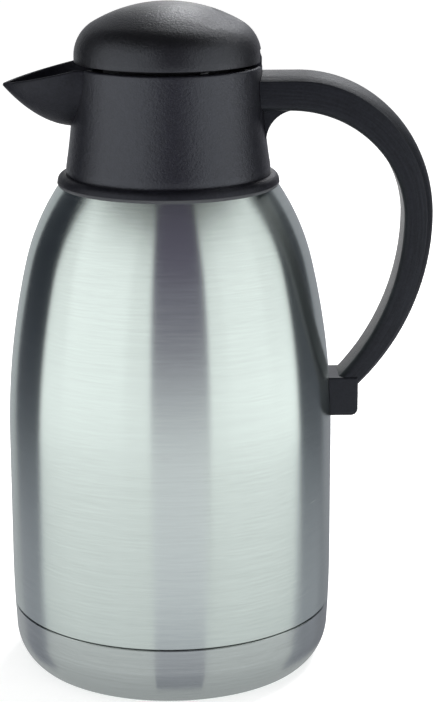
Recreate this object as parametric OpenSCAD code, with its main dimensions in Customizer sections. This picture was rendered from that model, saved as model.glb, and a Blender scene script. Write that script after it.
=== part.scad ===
// Vacuum carafe with a hinged dome lid.
// Sizes are in millimetres. The origin is on the body's axis, in the plane it stands on.
// +Z is up, the spout points to -X and the handle to +X.

/* [Steel body] */
// Widest diameter of the steel body
body_d = 140; // [130:1:150]
// Height where the shoulder starts to curve in
straight_h = 101; // [85:1:120]
// Height of the long lower curve of the shoulder
shoulder_low_h = 76; // [66:1:86]
// Radius of the long lower curve
shoulder_low_r = 334; // [300:2:380]
// Height of the tight upper curve of the shoulder
shoulder_top_h = 36.5; // [32:0.5:39]
// Radius of the tight upper curve
shoulder_top_r = 99; // [94:1:125]
// Step in from the top edge of the shoulder to the neck
neck_step = 10.3; // [9.5:0.1:12]
// Height of the neck above the shoulder
neck_h = 17.5; // [15:0.5:20]
// Wall of the outer steel shell
shell_wall = 0.6; // [0.5:0.1:1.2]
// Wall of the inner steel bottle
bottle_wall = 0.5; // [0.4:0.1:1]
// Distance between the outer faces of the shell and the bottle
vacuum_gap = 5; // [4:0.25:7]
// Height of the bottle's floor above the vacuum bottom
floor_gap = 8; // [7:0.5:12]

/* [Base cap] */
// Height of the seam above the ground
seam_h = 26.2; // [24:0.2:32]
// Width of the seam's groove
seam_w = 0.8; // [0.5:0.1:1.5]
// Diameter of the flat foot
foot_d = 123; // [116:1:128]
// Height at which the cap's rounded edge ends
base_round_h = 16.5; // [14:0.5:18]
// How much smaller the cap's radius is than the body's
base_draw = 0.9; // [0.4:0.1:1.5]
// Height of the hollow under the foot
foot_hollow = 3; // [2:0.25:5]
// Diameter of the hollow under the foot
foot_hollow_d = 104; // [90:1:108]

/* [Collar and spout] */
// How much the collar's radius narrows from its foot to its rim
collar_draw = 3.52; // [2:0.04:5]
// Height of the rim above the shoulder
collar_h = 47.5; // [46:0.5:52]
// Wall of the collar
collar_wall = 2.4; // [1.8:0.1:2.8]
// Radius of the roll at the collar's foot
bead_r = 3.1; // [2.4:0.1:3.6]
// Step in from the neck's outside to the foot of the throat
throat_step = 9; // [7:0.5:11]
// Rise of the collar's funnel for each millimetre it widens
funnel_steep = 1.82; // [1.75:0.01:1.9]
// Reach of the spout's tip beyond the rim
spout_len = 29.4; // [25:0.1:36]
// Half of the spout's width where it leaves the collar
spout_half_w = 19.7; // [16:0.1:21]
// Drop of the tip below the rim
tip_drop = 7.4; // [5:0.2:10]
// Depth of the spout below the rim, at the collar
spout_depth = 25.6; // [24:0.2:27.4]
// Wall of the spout
spout_wall = 1.9; // [1.4:0.1:2.6]
// Thickness of the gasket under the collar
gasket_t = 1.3; // [0.8:0.1:2]
// Thickness of the seal on the bottle's mouth
mouth_seal_t = 1.5; // [1:0.1:2]

/* [Handle] */
// Drop of the handle's top below the rim
handle_drop = 2.7; // [2:0.1:5]
// Reach of the grip's outer face beyond the body
handle_out = 42.8; // [34:0.2:50]
// Depth of the arm where it leaves the collar
arm_depth = 16; // [15:0.2:18]
// Thickness of the grip at its widest reach
grip_depth = 13; // [10:0.2:15]
// Drop of the grip's widest reach below the rim
grip_mid_drop = 65.2; // [58:0.2:73]
// Width of the grip
handle_w = 23; // [19:0.5:26]
// Crown of the grip's outer face
handle_crown = 3.3; // [1:0.1:4]
// Height of the lug's middle above the straight part of the body
lug_rise = 17.5; // [12:0.5:22]
// Height of the lug
lug_h = 17; // [15:0.5:20]
// Reach of the lug beyond the body
lug_out = 11; // [9.6:0.2:15]

/* [Lid] */
// Gap between the rim and the dome
lid_gap = 1.4; // [1:0.1:2.5]
// How much smaller the dome's radius is than the rim's
dome_inset = 0.4; // [0:0.1:2]
// Height of the dome above its edge
dome_h = 24.8; // [22:0.2:30]
// Radius of the dome's top
dome_top_r = 62; // [56:1:80]
// Radius of the dome's shoulder
dome_side_r = 16; // [12:0.5:18]
// Wall of the dome
dome_wall = 2.2; // [1.6:0.1:2.6]
// Depth of the thumb scoop
scoop_depth = 1.3; // [0.8:0.1:2]
// Radius of the ball that shapes the scoop
scoop_r = 30; // [24:1:45]
// Radius of the hinge's knuckles
knuckle_r = 2.6; // [2.2:0.1:3]
// Radius of the hinge pin
pin_r = 1.25; // [0.9:0.05:1.5]
// Distance between the outer faces of the collar's ears
hinge_w = 12; // [10:0.5:16]
// Thickness of each ear
ear_t = 2.5; // [2:0.25:3.5]
// Height of the stopper's foot above the throat's foot
stopper_lift = 0.8; // [0.4:0.1:2]
// Wall of the stopper
stopper_wall = 1.6; // [1.2:0.1:2.4]

/* [Screws] */
// Radius of the handle screws' shanks
screw_r = 1.5; // [1.2:0.1:1.8]
// Radius of the handle screws' heads
screw_head_r = 2.8; // [2.4:0.1:3.4]
// Radius of the lid screws' shanks
lid_screw_r = 1.1; // [0.9:0.1:1.4]

/* [Clearances] */
// Clearance between parts that move past each other
move_clear = 0.35; // [0.3:0.05:0.6]
// Clearance between parts that are fastened together
fit_clear = 0.1; // [0.05:0.05:0.2]
// Radial clearance of the hinge pin in the lid's knuckle
pin_clear = 0.05; // [0.02:0.01:0.1]

/* [Hidden] */
$fn = 96;

steel = [0.74, 0.77, 0.77];
dark_steel = [0.55, 0.57, 0.58];
black = [0.10, 0.10, 0.12];
soft_grey = [0.33, 0.34, 0.36];
foam_white = [0.90, 0.90, 0.86];

// Steel body
body_r = body_d / 2;
break_z = straight_h + shoulder_low_h;
shoulder_z = break_z + shoulder_top_h;
neck_foot = shoulder_z + 2.1;
neck_top = shoulder_z + neck_h;
lip_t = bottle_wall;
taper_top = seam_h + 20;
base_r = body_r - base_draw;
foot_r = foot_d / 2;
low_angle = asin(shoulder_low_h / shoulder_low_r);
break_r = body_r - shoulder_low_r * (1 - cos(low_angle));
seat_drop = 3.1;
seat_z = shoulder_z - seat_drop;

// Radius of the steel body at height z, from the seam to the top of the shoulder
function shell_r(z) =
    z < taper_top ? body_r - base_draw * pow((taper_top - z) / (taper_top - base_round_h), 2) :
    z < straight_h ? body_r :
    z < break_z ? body_r - shoulder_low_r + sqrt(pow(shoulder_low_r, 2) - pow(z - straight_h, 2)) :
    break_r - shoulder_top_r * cos(low_angle)
        + sqrt(pow(shoulder_top_r, 2) - pow(z - break_z + shoulder_top_r * sin(low_angle), 2));

neck_r = shell_r(shoulder_z) - neck_step;

// Heights at which the body's outline has points: up to the break in the shoulder, and from there on
function low_steps(z0) = concat(
    [z0],
    [for (z = [taper_top - 15, taper_top - 10, taper_top - 5, taper_top]) if (z > z0) z],
    [for (i = [0:10]) straight_h + shoulder_low_h * i / 10]
);
function top_steps() = [for (i = [0:12]) break_z + shoulder_top_h * i / 12];

function flip(list) = [for (i = [len(list) - 1:-1:0]) list[i]];

// Base cap
cap_top = seam_h - seam_w / 2;
shell_foot = seam_h + seam_w / 2;
cap_wall = 0.8;
edge_round = 1;
cap_bend = 0.86;
skirt_r = base_r - cap_wall - fit_clear;
skirt_foot = base_round_h + 1;
vacuum_floor = skirt_foot + 2;
vacuum_plate_t = 0.8;
vent_r = 2.5;

// Radius of the cap's outside at height z: a rounded edge, then nearly straight
function cap_bulge(t) = (1 - sqrt(1 - pow(cap_bend * t, 2))) / (1 - sqrt(1 - pow(cap_bend, 2)));
function cap_r(z) =
    z < base_round_h ? base_r - (base_r - foot_r) * cap_bulge((base_round_h - z) / base_round_h) : shell_r(z);

// Inner bottle
bottle_floor = vacuum_floor + floor_gap;
bottle_round = 10;
bottle_joint = bottle_floor + bottle_round + 4;
neck_gap = 1.2;
bottle_neck_r = neck_r - shell_wall - neck_gap;
mouth_r = bottle_neck_r - bottle_wall;
inner_top = shoulder_z - vacuum_gap;
bottle_neck_foot = inner_top + 2.3;

// Collar
rim_z = shoulder_z + collar_h;
seat_r = shell_r(seat_z);
bead_proud = 0.5;
bead_lift = 0.6;
flare_in = 0.7;
flare_h = 3.2;
bead_mid_r = seat_r + bead_proud - bead_r;
bead_z = seat_z + gasket_t + bead_lift;
foot_flare_r = bead_mid_r - flare_in;
flare_z = bead_z + bead_r + flare_h;
rim_r = foot_flare_r - collar_draw;
throat_r = neck_r - throat_step;
throat_foot = neck_top + lip_t + mouth_seal_t;
funnel_wall = 2;
insert_r = rim_r - collar_wall - fit_clear;
insert_ledge = 0.8;
insert_top = throat_foot + (insert_r - insert_ledge - throat_r) * funnel_steep;

// Radius of the collar's outside at height z, above its bead
function collar_r(z) =
    z > flare_z
    ? rim_r + (foot_flare_r - rim_r) * pow((rim_z - z) / (rim_z - flare_z), 2)
    : foot_flare_r + 2 * flare_in * (1 - sqrt(1 - pow((flare_z - z) / (flare_z - bead_z), 2)));
function funnel_r(z) = throat_r + (z - throat_foot) / funnel_steep;

// Spout
spout_root = throat_r - 2;
ogive_x = rim_r - 1.5;
spout_reach = rim_r + spout_len;
ogive_len = spout_reach - ogive_x;
tip_half_w = 0.6;
tip_t = 1;
rim_step = 0.1;
ogive_r = (pow(ogive_len, 2) + pow(spout_half_w - tip_half_w, 2)) / (2 * (spout_half_w - tip_half_w));
spout_rings = 12;
spout_points = 14;

// Half width, edge height and keel height of the spout at distance x from the axis
function spout_w(x) =
    x < ogive_x ? spout_half_w : sqrt(pow(ogive_r, 2) - pow(x - ogive_x, 2)) - (ogive_r - spout_half_w);
function spout_edge(x) = rim_z - rim_step - tip_drop * max(0, x - ogive_x) / ogive_len;
function spout_keel(x) = rim_z - spout_depth
    + (spout_depth - tip_drop - rim_step - tip_t) * pow(max(0, x - ogive_x) / ogive_len, 2);

// Distance from the axis of ring i, for an outline drawn in by a wall
function spout_x(i, inset) = ogive_x
    + sqrt(pow(ogive_r, 2) - pow(ogive_r - spout_half_w + inset + tip_half_w, 2)) * sin(90 * i / spout_rings);

// One ring of the spout: a half ellipse below its edges, open upwards by a height if one is given
function spout_ring(x, inset, open_h) = let (
    w = spout_w(x) - inset,
    edge = spout_edge(x),
    deep = edge - spout_keel(x) - inset,
    bowl = [
        for (j = [0:spout_points]) let (a = 180 * j / spout_points)
        [-x, -w * cos(a), edge - deep * sin(a)]
    ]
) open_h > 0 ? concat([[-x, -w, edge + open_h]], bowl, [[-x, w, edge + open_h]]) : bowl;

// Hinge
dome_r = rim_r - dome_inset;
hinge_x = dome_r - knuckle_r;
dome_z = rim_z + lid_gap;
hinge_z = dome_z + 1.7;
notch_r = knuckle_r + move_clear + 0.1;
notch_w = hinge_w + 2 * 0.6;
knuckle_w = hinge_w - 2 * ear_t - 2 * move_clear;

// Dome
dome_top = dome_z + dome_h;
side_z = dome_top - dome_top_r
    + sqrt(pow(dome_top_r - dome_side_r, 2) - pow(dome_r - dome_side_r, 2));
plate_t = 2.2;
plate_z = dome_z + 0.2;
plate_r = dome_r - dome_wall - fit_clear;
plate_top = plate_z + plate_t;

// Stopper
stopper_foot = throat_foot + stopper_lift;
seal_h = 1.8;
seal_z = stopper_foot + 1;
stopper_gap = 1.6;
flange_step = 7.7;
flange_r = rim_r - flange_step;
flange_t = 1.6;
flange_lip = 5;
flange_z = plate_z - flange_t;
boss_pitch = flange_r - flange_lip / 2;
lid_screw_angles = [60, 180, 300];
boss_r = 3.2;
lid_screw_head_r = 2.2;
lid_screw_head_t = 1.4;
lid_screw_bite = 5.5;
function stopper_r(z) = min(funnel_r(z) - stopper_gap, flange_r - flange_lip);

// Handle
handle_top = rim_z - handle_drop;
arm_under = handle_top - arm_depth;
outer_x = rim_r + 15.2;
inner_x = rim_r + 11.4;
handle_reach = body_r + handle_out;
grip_in = handle_reach - grip_depth;
grip_mid_h = rim_z - grip_mid_drop;
lug_reach = body_r + lug_out;
lug_mid_h = straight_h + lug_rise;
lug_foot = lug_mid_h - lug_h / 2;
lug_top = lug_mid_h + lug_h / 2;
lug_w = 22;
lug_round = 3;
handle_round = 3;
bend_steps = 16;
sweep_steps = 12;
sweep_sink = 5;
sweep_fall = grip_mid_h - lug_top + sweep_sink;
sweep_in = handle_reach - lug_reach - 0.8;
sweep_trim = 2;
sweep_r = (pow(sweep_fall, 2) + pow(sweep_in, 2)) / (2 * sweep_in);
sweep_angle = asin(sweep_fall / sweep_r);
bracket_t = 1;
bracket_boss_r = 3.4;
bracket_boss_len = 5;
cap_recess_r = 4.4;
top_screw_y = [-5.5, 5.5];
top_screw_len = 13;
screw_head_t = 2;
screw_pad_r = screw_head_r + 0.8;
pad_x = rim_r - collar_wall - 1.3;
pad_top = throat_foot + (pad_x - funnel_wall - throat_r) * funnel_steep;
top_screw_z = min(arm_under + 3.6, pad_top - screw_pad_r);
head_x = body_r + bracket_t + bracket_boss_len + 1.6;

module lathe(points) {
    rotate_extrude() polygon(points);
}

module along_x(x0, x1, r) {
    translate([x0, 0, 0]) rotate([0, 90, 0]) cylinder(r = r, h = x1 - x0);
}

module along_y(width, r) {
    rotate([90, 0, 0]) cylinder(r = r, h = width, center = true);
}

// A closed skin over rings that all have the same number of points
module loft(rings) {
    n = len(rings[0]);
    m = len(rings);
    points = [for (ring = rings) for (p = ring) p];
    sides = [
        for (i = [0:m - 2]) for (j = [0:n - 1]) let (k = (j + 1) % n)
        each [[i * n + j, i * n + k, (i + 1) * n + k], [i * n + j, (i + 1) * n + k, (i + 1) * n + j]]
    ];
    first = [for (j = [n - 1:-1:0]) j];
    last = [for (j = [0:n - 1]) (m - 1) * n + j];
    polyhedron(points, concat([first], sides, [last]), convexity = 6);
}

// Steel body

module outer_shell() {
    zs = low_steps(shell_foot);
    web_z = shell_foot + shell_wall;
    color(steel) lathe(concat(
        [[skirt_r, skirt_foot], [skirt_r, shell_foot]],
        [for (z = zs) [shell_r(z), z]],
        flip([for (z = zs) [shell_r(z) - shell_wall, max(z, web_z)]]),
        [[skirt_r - shell_wall, web_z], [skirt_r - shell_wall, skirt_foot]]
    ));
}

// Upper part of the shell, welded to the lower one where the curve of the shoulder tightens
module shell_shoulder() {
    zs = top_steps();
    color(steel) lathe(concat(
        [for (z = zs) [shell_r(z), z]],
        [[neck_r + 1.5, shoulder_z + 0.6], [neck_r, neck_foot], [neck_r - shell_wall, neck_foot]],
        [[neck_r - shell_wall, shoulder_z + 1.4], [neck_r + 1, shoulder_z - shell_wall]],
        flip([for (z = zs) [shell_r(z) - shell_wall, z - (z > break_z ? shell_wall : 0)]])
    ));
}

module neck_tube() {
    color(steel) translate([0, 0, neck_foot]) difference() {
        cylinder(r = neck_r, h = neck_top - neck_foot);
        translate([0, 0, -1]) cylinder(r = neck_r - shell_wall, h = neck_top - neck_foot + 2);
    }
}

module base_cap() {
    rise = [for (i = [0:14]) base_round_h * pow(i / 14, 1.5)];
    outside = concat([for (z = rise) [cap_r(z), z]], [[shell_r(cap_top), cap_top]]);
    inside = concat(
        [for (z = rise) [cap_r(z) - cap_wall, z + cap_wall * (1 - z / base_round_h)]],
        [[base_r - cap_wall, cap_top]]
    );
    hollow_r = foot_hollow_d / 2;
    color(steel) lathe(concat(
        [[0, foot_hollow]],
        [[hollow_r - 2, foot_hollow], [hollow_r, 0]],
        outside,
        flip(inside),
        [[hollow_r + 0.4, cap_wall], [hollow_r - 1.6, foot_hollow + cap_wall], [0, foot_hollow + cap_wall]]
    ));
}

module vacuum_bottom() {
    r = skirt_r - shell_wall - fit_clear;
    t = vacuum_plate_t;
    rise = 2;
    ramp = 6;
    color(steel) difference() {
        lathe([
            [0, vacuum_floor], [r - 2 * ramp, vacuum_floor], [r - ramp, vacuum_floor + rise],
            [r - t, vacuum_floor + rise], [r - t, skirt_foot], [r, skirt_foot], [r, vacuum_floor + rise + t],
            [r - ramp - t / 2, vacuum_floor + rise + t], [r - 2 * ramp - t / 2, vacuum_floor + t],
            [0, vacuum_floor + t]
        ]);
        translate([0, 0, vacuum_floor - 1]) cylinder(r = vent_r, h = t + 2);
    }
}

module vent_seal() {
    color(dark_steel) union() {
        translate([0, 0, vacuum_floor - 1]) cylinder(r = vent_r + 2.5, h = 1);
        translate([0, 0, vacuum_floor - 0.5]) cylinder(r = vent_r - fit_clear, h = 1);
    }
}

module getter() {
    getter_r = 6;
    getter_off = 20;
    color(dark_steel) translate([getter_off, 0, vacuum_floor + vacuum_plate_t]) difference() {
        cylinder(r = getter_r, h = 2.4);
        translate([0, 0, 1]) cylinder(r = getter_r - 0.8, h = 2);
    }
}

module inner_bottle() {
    zs = low_steps(bottle_joint);
    color(steel) lathe(concat(
        [for (z = zs) [shell_r(z) - vacuum_gap, z]],
        flip([for (z = zs) [shell_r(z) - vacuum_gap - bottle_wall, z]])
    ));
}

module inner_shoulder() {
    outside = [for (z = top_steps())
        [shell_r(z) - vacuum_gap, z - vacuum_gap * (z - break_z) / shoulder_top_h]];
    inside = [for (p = outside) [p[0] - bottle_wall, p[1] - (p[1] > break_z ? bottle_wall / 2 : 0)]];
    color(steel) lathe(concat(
        outside,
        [[bottle_neck_r + 1.5, inner_top + 0.8], [bottle_neck_r, bottle_neck_foot]],
        [[mouth_r, bottle_neck_foot], [mouth_r, bottle_neck_foot - 0.4]],
        [[bottle_neck_r + 1, inner_top + 0.1]],
        flip(inside)
    ));
}

// The bottle's neck, with the lip that closes the vacuum at the top of the neck tube
module bottle_neck() {
    color(steel) lathe([
        [mouth_r, bottle_neck_foot], [bottle_neck_r, bottle_neck_foot], [bottle_neck_r, neck_top],
        [neck_r, neck_top], [neck_r, neck_top + lip_t], [mouth_r, neck_top + lip_t]
    ]);
}

module inner_bottom() {
    r = shell_r(bottle_joint) - vacuum_gap;
    corner = [for (i = [0:8]) let (a = 90 * i / 8)
        [r - bottle_round + bottle_round * sin(a), bottle_floor + bottle_round - bottle_round * cos(a)]];
    inner = bottle_round - bottle_wall;
    inner_corner = [for (i = [8:-1:0]) let (a = 90 * i / 8)
        [r - bottle_round + inner * sin(a), bottle_floor + bottle_round - inner * cos(a)]];
    color(steel) lathe(concat(
        [[0, bottle_floor]], corner, [[r, bottle_joint], [r - bottle_wall, bottle_joint]],
        inner_corner, [[0, bottle_floor + bottle_wall]]
    ));
}

// Collar and its seals

ring_lift = 4;
ring_drop = 3.5;
ring_z0 = shoulder_z + ring_lift;
ring_z1 = neck_top - ring_drop;
ring_r = collar_r(ring_z1) - collar_wall - 0.9 - fit_clear;
ridge_h = 1.6;
ridge_lift = 1.4;
ridge_pitch = 3.8;
ridge_z = [ring_z0 + ridge_lift, ring_z0 + ridge_lift + ridge_pitch];
ridge_out = 0.8;

module neck_ring() {
    color(black) difference() {
        union() {
            translate([0, 0, ring_z0]) cylinder(r = ring_r, h = ring_z1 - ring_z0);
            for (z = ridge_z) translate([0, 0, z]) cylinder(r = ring_r + ridge_out, h = ridge_h);
        }
        translate([0, 0, ring_z0 - 1]) cylinder(r = neck_r + fit_clear / 2, h = ring_z1 - ring_z0 + 2);
    }
}

module mouth_seal() {
    color(soft_grey) translate([0, 0, neck_top + lip_t]) difference() {
        cylinder(r = neck_r, h = mouth_seal_t);
        translate([0, 0, -1]) cylinder(r = mouth_r, h = mouth_seal_t + 2);
    }
}

gasket_low = seat_z;
gasket_high = shoulder_z - 0.3;
gasket_steps = 4;
function gasket_line(out, up) = [
    for (i = [0:gasket_steps]) let (z = gasket_low + (gasket_high - gasket_low) * i / gasket_steps)
    [shell_r(z) + out, z + up]
];

module collar_gasket() {
    color(soft_grey) lathe(concat(
        gasket_line(0, 0),
        flip(gasket_line(gasket_t * 0.5, gasket_t * 0.86))
    ));
}

module spout_loft(inset, open_h) {
    loft(concat(
        [spout_ring(spout_root, inset, open_h)],
        [for (i = [0:spout_rings]) spout_ring(spout_x(i, inset), inset, open_h)]
    ));
}

// Everything below the top face of the gasket
module below_gasket() {
    top = gasket_line(gasket_t * 0.5, gasket_t * 0.86);
    lathe(concat(
        [[0, seat_z - 12], [body_r, seat_z - 12], [body_r, top[0][1]]],
        top,
        [[0, top[gasket_steps][1]]]
    ));
}

// The collar's wall, with the roll at its foot, grooves for the neck ring and the ledge over the insert
module collar_skin() {
    side_top = rim_z - edge_round;
    snap_r = ring_r + fit_clear;
    groove_r = snap_r + ridge_out;
    difference() {
        union() {
            lathe(concat(
                [[snap_r, seat_z]],
                [for (z = ridge_z) each let (z0 = z - 0.2, z1 = z + ridge_h + 0.2)
                    [[snap_r, z0], [groove_r, z0], [groove_r, z1], [snap_r, z1]]],
                [[snap_r, throat_foot + 4], [insert_r + fit_clear, insert_top - 3]],
                [[insert_r + fit_clear, insert_top + fit_clear]],
                [[insert_r - insert_ledge, insert_top + fit_clear], [insert_r - insert_ledge, rim_z]],
                [[rim_r - edge_round, rim_z]],
                [for (i = [1:3]) let (a = 30 * i)
                    [rim_r - edge_round * (1 - sin(a)), side_top + edge_round * cos(a)]],
                [for (i = [9:-1:0]) let (z = flare_z + (side_top - flare_z) * i / 10) [collar_r(z), z]],
                [for (i = [6:-1:1]) let (z = bead_z + (flare_z - bead_z) * i / 7) [collar_r(z), z]],
                [[bead_mid_r, seat_z]]
            ));
            rotate_extrude() translate([bead_mid_r, bead_z]) circle(r = bead_r, $fn = 48);
        }
        below_gasket();
    }
}

// The space inside the funnel, drawn on upwards
module funnel_space() {
    lathe([
        [0, throat_foot - 2], [funnel_r(throat_foot - 2), throat_foot - 2],
        [insert_r - insert_ledge, insert_top], [insert_r - insert_ledge, rim_z + 12], [0, rim_z + 12]
    ]);
}

module ear(side) {
    y0 = side > 0 ? hinge_w / 2 - ear_t : -hinge_w / 2;
    translate([hinge_x, y0 + ear_t, hinge_z]) rotate([90, 0, 0]) cylinder(r = knuckle_r, h = ear_t);
    translate([hinge_x - knuckle_r, y0, rim_z - 4]) cube([2 * knuckle_r, ear_t, hinge_z - rim_z + 4]);
}

module collar() {
    color(black) difference() {
        union() {
            collar_skin();
            difference() {
                spout_loft(0, 0);
                funnel_space();
            }
            for (y = top_screw_y) translate([0, y, top_screw_z])
                along_x(pad_x, rim_r - 0.8, screw_pad_r);
            for (side = [-1, 1]) ear(side);
        }
        spout_loft(spout_wall, 15);
        translate([hinge_x, 0, hinge_z]) along_y(hinge_w + 2, pin_r);
        for (y = top_screw_y) translate([0, y, top_screw_z]) {
            along_x(pad_x - 0.5, rim_r + 4, screw_r + fit_clear);
            along_x(pad_x - 0.5, pad_x + screw_head_t, screw_head_r + fit_clear);
        }
    }
}

// Funnel that sits on the bottle's mouth and opens into the spout
module pour_insert() {
    seat_r_in = funnel_r(throat_foot);
    color(black) difference() {
        lathe([
            [seat_r_in, throat_foot], [insert_r - insert_ledge, insert_top], [insert_r, insert_top],
            [insert_r, throat_foot + (insert_r - funnel_wall - throat_r) * funnel_steep],
            [funnel_r(throat_foot + funnel_wall) + funnel_wall, throat_foot + funnel_wall],
            [neck_r, throat_foot + funnel_wall], [neck_r, throat_foot]
        ]);
        spout_loft(-fit_clear, 15);
    }
}

// Handle

function width_at(t) = handle_w / 2 - 1.2 * t;

// One ring of the handle between an inner and an outer point, with its half width
function handle_ring(inner, outer, half) = let (
    d = outer - inner,
    t = norm(d),
    u = d / t,
    q = handle_round
) [
    for (p = concat(
        [for (i = [0:4]) let (a = 90 * i / 4) [q - q * cos(a), -half + q - q * sin(a)]],
        [[t - handle_crown, -half]],
        [for (i = [-3:3]) let (s = i / 4) [t - handle_crown * s * s, half * s]],
        [[t - handle_crown, half]],
        [for (i = [4:-1:0]) let (a = 90 * i / 4) [q - q * cos(a), half - q + q * sin(a)]]
    )) [inner[0] + u[0] * p[0], p[1], inner[1] + u[1] * p[0]]
];

function bend_inner(a) =
    [inner_x + (grip_in - inner_x) * sin(a), grip_mid_h + (arm_under - grip_mid_h) * cos(a)];
function bend_outer(a) =
    [outer_x + (handle_reach - outer_x) * sin(a), grip_mid_h + (handle_top - grip_mid_h) * cos(a)];
function sweep_inner(a) = let (r = sweep_r - sweep_trim)
    [grip_in - r * (1 - cos(a)), grip_mid_h - r * sin(a)];
function sweep_outer(a) =
    [handle_reach - sweep_r * (1 - cos(a)), grip_mid_h - sweep_r * sin(a)];

module handle_arm() {
    root = rim_r - 6;
    loft(concat(
        [handle_ring([root, arm_under], [root, handle_top], width_at(0))],
        [for (i = [0:bend_steps]) let (a = 90 * i / bend_steps)
            handle_ring(bend_inner(a), bend_outer(a), width_at(0.5 * i / bend_steps))],
        [for (i = [1:sweep_steps]) let (a = sweep_angle * i / sweep_steps)
            handle_ring(sweep_inner(a), sweep_outer(a), width_at(0.5 + 0.5 * i / sweep_steps))]
    ));
}

module lug_block() {
    x0 = body_r - 6;
    depth = lug_reach - x0;
    rotate([90, 0, 0]) translate([0, 0, -lug_w / 2]) linear_extrude(lug_w) union() {
        translate([x0, lug_foot + lug_round]) square([depth, lug_h - lug_round]);
        translate([x0, lug_foot]) square([depth - lug_round, lug_h]);
        translate([lug_reach - lug_round, lug_foot + lug_round]) circle(r = lug_round);
    }
}

module gusset() {
    gusset_w = 13;
    web_r = 13;
    web_x = rim_r + 1.5;
    rotate([90, 0, 0]) translate([0, 0, -gusset_w / 2]) linear_extrude(gusset_w) difference() {
        translate([rim_r - 6, arm_under - web_r]) square([web_x + web_r - rim_r + 6, web_r + 3]);
        translate([web_x + web_r, arm_under - web_r]) circle(r = web_r);
    }
}

// Outside of the collar and of the steel body, grown by a clearance, for cutting what sits against them
module collar_clear(gap) {
    lathe(concat(
        [[0, shoulder_z]], [[collar_r(flare_z) + gap, shoulder_z], [collar_r(flare_z) + gap, flare_z]],
        [for (i = [1:10]) let (z = flare_z + (rim_z - flare_z) * i / 10) [collar_r(z) + gap, z]],
        [[rim_r + gap, rim_z + 6], [0, rim_z + 6]]
    ));
}

module body_clear(gap) {
    zs = concat(low_steps(seam_h), top_steps());
    lathe(concat([[0, seam_h]], [for (z = zs) [shell_r(z) + gap, z]], [[0, shoulder_z]]));
}

module handle() {
    color(black) difference() {
        union() {
            difference() {
                handle_arm();
                translate([0, -handle_w, lug_foot + 2 - rim_z]) cube([2 * handle_reach, 2 * handle_w, rim_z]);
            }
            lug_block();
            gusset();
        }
        collar_clear(fit_clear);
        body_clear(fit_clear);
        // Room for the bracket and its boss
        translate([0, 0, lug_mid_h]) along_x(body_r - 8, head_x - 1.5, bracket_boss_r + 0.2);
        translate([body_r - 8, -8.2, lug_mid_h - 6.2]) cube([8 + bracket_t + 0.4, 16.4, 12.4]);
        translate([0, 0, lug_mid_h]) along_x(head_x - 2, lug_reach + 5, screw_r + fit_clear);
        translate([0, 0, lug_mid_h]) along_x(head_x, lug_reach + 5, cap_recess_r);
        for (y = top_screw_y) translate([0, y, top_screw_z])
            along_x(rim_r - 8, pad_x + screw_head_t + top_screw_len + 1, screw_r + 0.02);
    }
}

// Cross recess in a pan head whose face looks along +Z
module cross_recess(r) {
    for (a = [0, 90]) rotate(a) cube([2 * r, 0.8, 2], center = true);
}

// Pan-head screws that hold the handle's root from inside the collar
module handle_top_screws() {
    color(dark_steel) for (y = top_screw_y) translate([0, y, top_screw_z]) difference() {
        union() {
            along_x(pad_x, pad_x + screw_head_t, screw_head_r);
            along_x(pad_x + 0.5, pad_x + screw_head_t + top_screw_len, screw_r);
        }
        translate([pad_x, 0, 0]) rotate([0, 90, 0]) cross_recess(1.8);
    }
}

module handle_bracket() {
    boss_end = body_r + bracket_t + bracket_boss_len;
    color(dark_steel) difference() {
        union() {
            intersection() {
                body_clear(bracket_t);
                translate([body_r - 6, -8, lug_mid_h - 6]) cube([12, 16, 12]);
            }
            translate([0, 0, lug_mid_h]) along_x(body_r - 1, boss_end, bracket_boss_r);
        }
        body_clear(0);
        translate([0, 0, lug_mid_h]) along_x(body_r - 4, boss_end + 1, screw_r);
    }
}

module lug_screw() {
    head_t = 1.4;
    color(dark_steel) translate([0, 0, lug_mid_h]) difference() {
        union() {
            along_x(body_r + bracket_t, head_x + 0.4, screw_r);
            along_x(head_x, head_x + head_t, screw_head_r);
        }
        translate([head_x + head_t, 0, 0]) rotate([0, 90, 0]) cross_recess(1.8);
    }
}

module lug_cap() {
    color(black) translate([0, 0, lug_mid_h]) along_x(head_x + 1.8, lug_reach, cap_recess_r - fit_clear);
}

// Lid

module hinge_pin() {
    color(steel) translate([hinge_x, 0, hinge_z]) along_y(hinge_w, pin_r);
}

// Outline of the dome, drawn in by a wall
module dome_profile(inset) {
    top_c = dome_top - dome_top_r;
    side_c = dome_r - dome_side_r;
    top_r = dome_top_r - inset;
    side_r = dome_side_r - inset;
    k = side_c / (dome_top_r - dome_side_r);
    h = (side_z - top_c) / (dome_top_r - dome_side_r);
    tan_x = top_r * k;
    intersection() {
        union() {
            intersection() {
                translate([0, top_c]) circle(r = top_r, $fn = 180);
                translate([0, top_c + top_r * h]) square([tan_x, top_r]);
            }
            intersection() {
                translate([side_c, side_z]) circle(r = side_r, $fn = 96);
                translate([side_c, dome_z - 1]) square([dome_side_r + 1, 2 * dome_h]);
            }
            translate([0, dome_z - 1]) square([side_c, top_c + top_r * h - dome_z + 1.001]);
            polygon([
                [0, dome_z - 1], [dome_r - inset, dome_z - 1], [dome_r - inset, side_z],
                [side_c, side_z], [tan_x, top_c + top_r * h], [0, top_c + top_r * h]
            ]);
        }
        translate([0, dome_z]) square([dome_r + 1, dome_h + 1]);
    }
}

// Ball that cuts the thumb scoop: its centre lies on a line through the dome's top, towards the handle
module scoop_ball() {
    lean = 24;
    dist = dome_top_r + scoop_r - scoop_depth;
    translate([0, 0, dome_top - dome_top_r]) rotate([0, lean, 0]) translate([0, 0, dist])
        sphere(r = scoop_r);
}

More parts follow.
